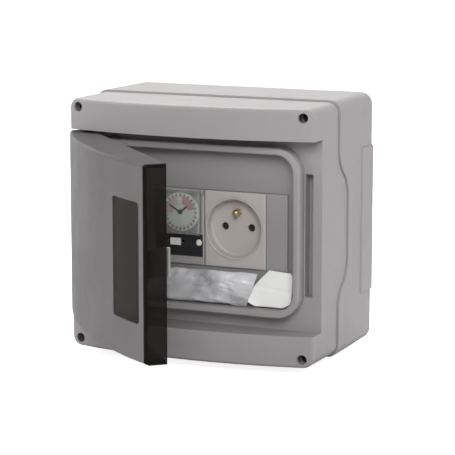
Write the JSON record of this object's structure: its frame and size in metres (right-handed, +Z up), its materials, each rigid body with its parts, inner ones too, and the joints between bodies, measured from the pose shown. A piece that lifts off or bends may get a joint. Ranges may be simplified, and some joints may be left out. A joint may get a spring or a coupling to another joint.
{
  "type": "irrigation controller",
  "caption": "Wall-mounted weatherproof box with a hinged curved door over a rail-mounted time switch and a mains socket that it switches for irrigation.",
  "frame": {"origin": "middle of the flat back face that sits against the wall", "axes": "+X right seen from the front, +Y into the wall (the front faces -Y), +Z up"},
  "size_m": [0.1821, 0.2273, 0.1758],
  "materials": {
    "shell": "fine-textured light grey moulding",
    "door_grey": "fine-textured light grey moulding",
    "smoked": "smoked clear plastic, smooth",
    "inner_grey": "satin mid grey",
    "module_grey": "satin light grey",
    "socket_beige": "semi-gloss warm beige grey",
    "black": "satin black",
    "dial_white": "satin off-white with coloured sectors",
    "tappet_red": "satin red",
    "clear": "clear plastic",
    "indicator": "translucent off-white",
    "steel": "zinc-plated steel",
    "brass": "bare brass",
    "rubber": "soft black rubber",
    "grommet": "soft dark grey rubber",
    "wire_brown": "PVC sheath",
    "wire_blue": "PVC sheath",
    "wire_green": "PVC sheath, green and yellow",
    "wire_black": "PVC sheath",
    "film": "thin clear film",
    "paper": "folded coated paper"
  },
  "bodies": {
    "enclosure": {"base_shell": "shell", "cover_frame": "shell", "cover_gasket": "rubber", "cover_screws": "steel", "mask_screws": "steel", "rail_screws": "steel", "cable_grommets": "grommet", "din_rail": "steel", "inner_mask": "inner_grey", "slot_blanks": "inner_grey", "timer_housing": "module_grey", "timer_terminal_screws": "steel", "timer_motor": "steel", "timer_panel": "black", "timer_indicator": "indicator", "socket_housing": "socket_beige", "socket_terminal_screws": "steel", "socket_well": "socket_beige", "socket_contacts": "brass", "socket_earth_pin": "brass", "terminal_block": "module_grey", "terminal_screws": "steel", "wire_live": "wire_brown", "wire_earth": "wire_green", "wire_neutral": "wire_blue", "wire_switched": "wire_black", "document_pouch": "film", "instruction_sheet": "paper", "hinge_pin_upper": "steel", "hinge_pin_lower": "steel"},
    "door": {"door_shell": "door_grey", "door_seal": "rubber", "door_window": "smoked", "door_edge_strip": "smoked", "door_catch": "inner_grey"},
    "dial": {"timer_dial": "dial_white", "timer_tappets": "tappet_red"},
    "hour_hand": {"timer_hour_hand": "black"},
    "minute_hand": {"timer_minute_hand": "black"},
    "flap": {"timer_flap": "clear"},
    "selector": {"timer_selector": "module_grey"},
    "shutter": {"socket_shutter": "black"},
    "timer_clip": {"timer_rail_clip": "black"},
    "socket_clip": {"socket_rail_clip": "black"}
  },
  "joints": [
    {"name": "door_hinge", "type": "hinge", "parent": "enclosure", "child": "door", "pos_m": [-0.0815, -0.0975, 0], "axis": [0, 0, -1], "range_deg": [-47, 63]},
    {"name": "dial_turn", "type": "hinge", "parent": "enclosure", "child": "dial", "pos_m": [-0.0133, -0.0922, 0.0099], "axis": [0, 1, 0], "continuous": true},
    {"name": "hour_hand_turn", "type": "hinge", "parent": "enclosure", "child": "hour_hand", "pos_m": [-0.0133, -0.0922, 0.0099], "axis": [0, 1, 0], "continuous": true},
    {"name": "minute_hand_turn", "type": "hinge", "parent": "enclosure", "child": "minute_hand", "pos_m": [-0.0133, -0.0922, 0.0099], "axis": [0, 1, 0], "continuous": true},
    {"name": "flap_hinge", "type": "hinge", "parent": "enclosure", "child": "flap", "pos_m": [-0.0142, -0.0922, 0.0239], "axis": [-1, 0, 0], "range_deg": [0, 100]},
    {"name": "selector_slide", "type": "slide", "parent": "enclosure", "child": "selector", "axis": [1, 0, 0], "range_m": [-0.0038, 0.0038]},
    {"name": "shutter_turn", "type": "hinge", "parent": "enclosure", "child": "shutter", "pos_m": [0.0252, -0.0808, 0.001], "axis": [0, 1, 0], "range_deg": [0, 35]},
    {"name": "timer_clip_slide", "type": "slide", "parent": "enclosure", "child": "timer_clip", "axis": [0, 0, -1], "range_m": [0, 0.003]},
    {"name": "socket_clip_slide", "type": "slide", "parent": "enclosure", "child": "socket_clip", "axis": [0, 0, -1], "range_m": [0, 0.003]}
  ],
  "couplings": [
    {"joint": "hour_hand_turn", "follows": "dial_turn", "ratio": 2},
    {"joint": "minute_hand_turn", "follows": "dial_turn", "ratio": 24}
  ]
}
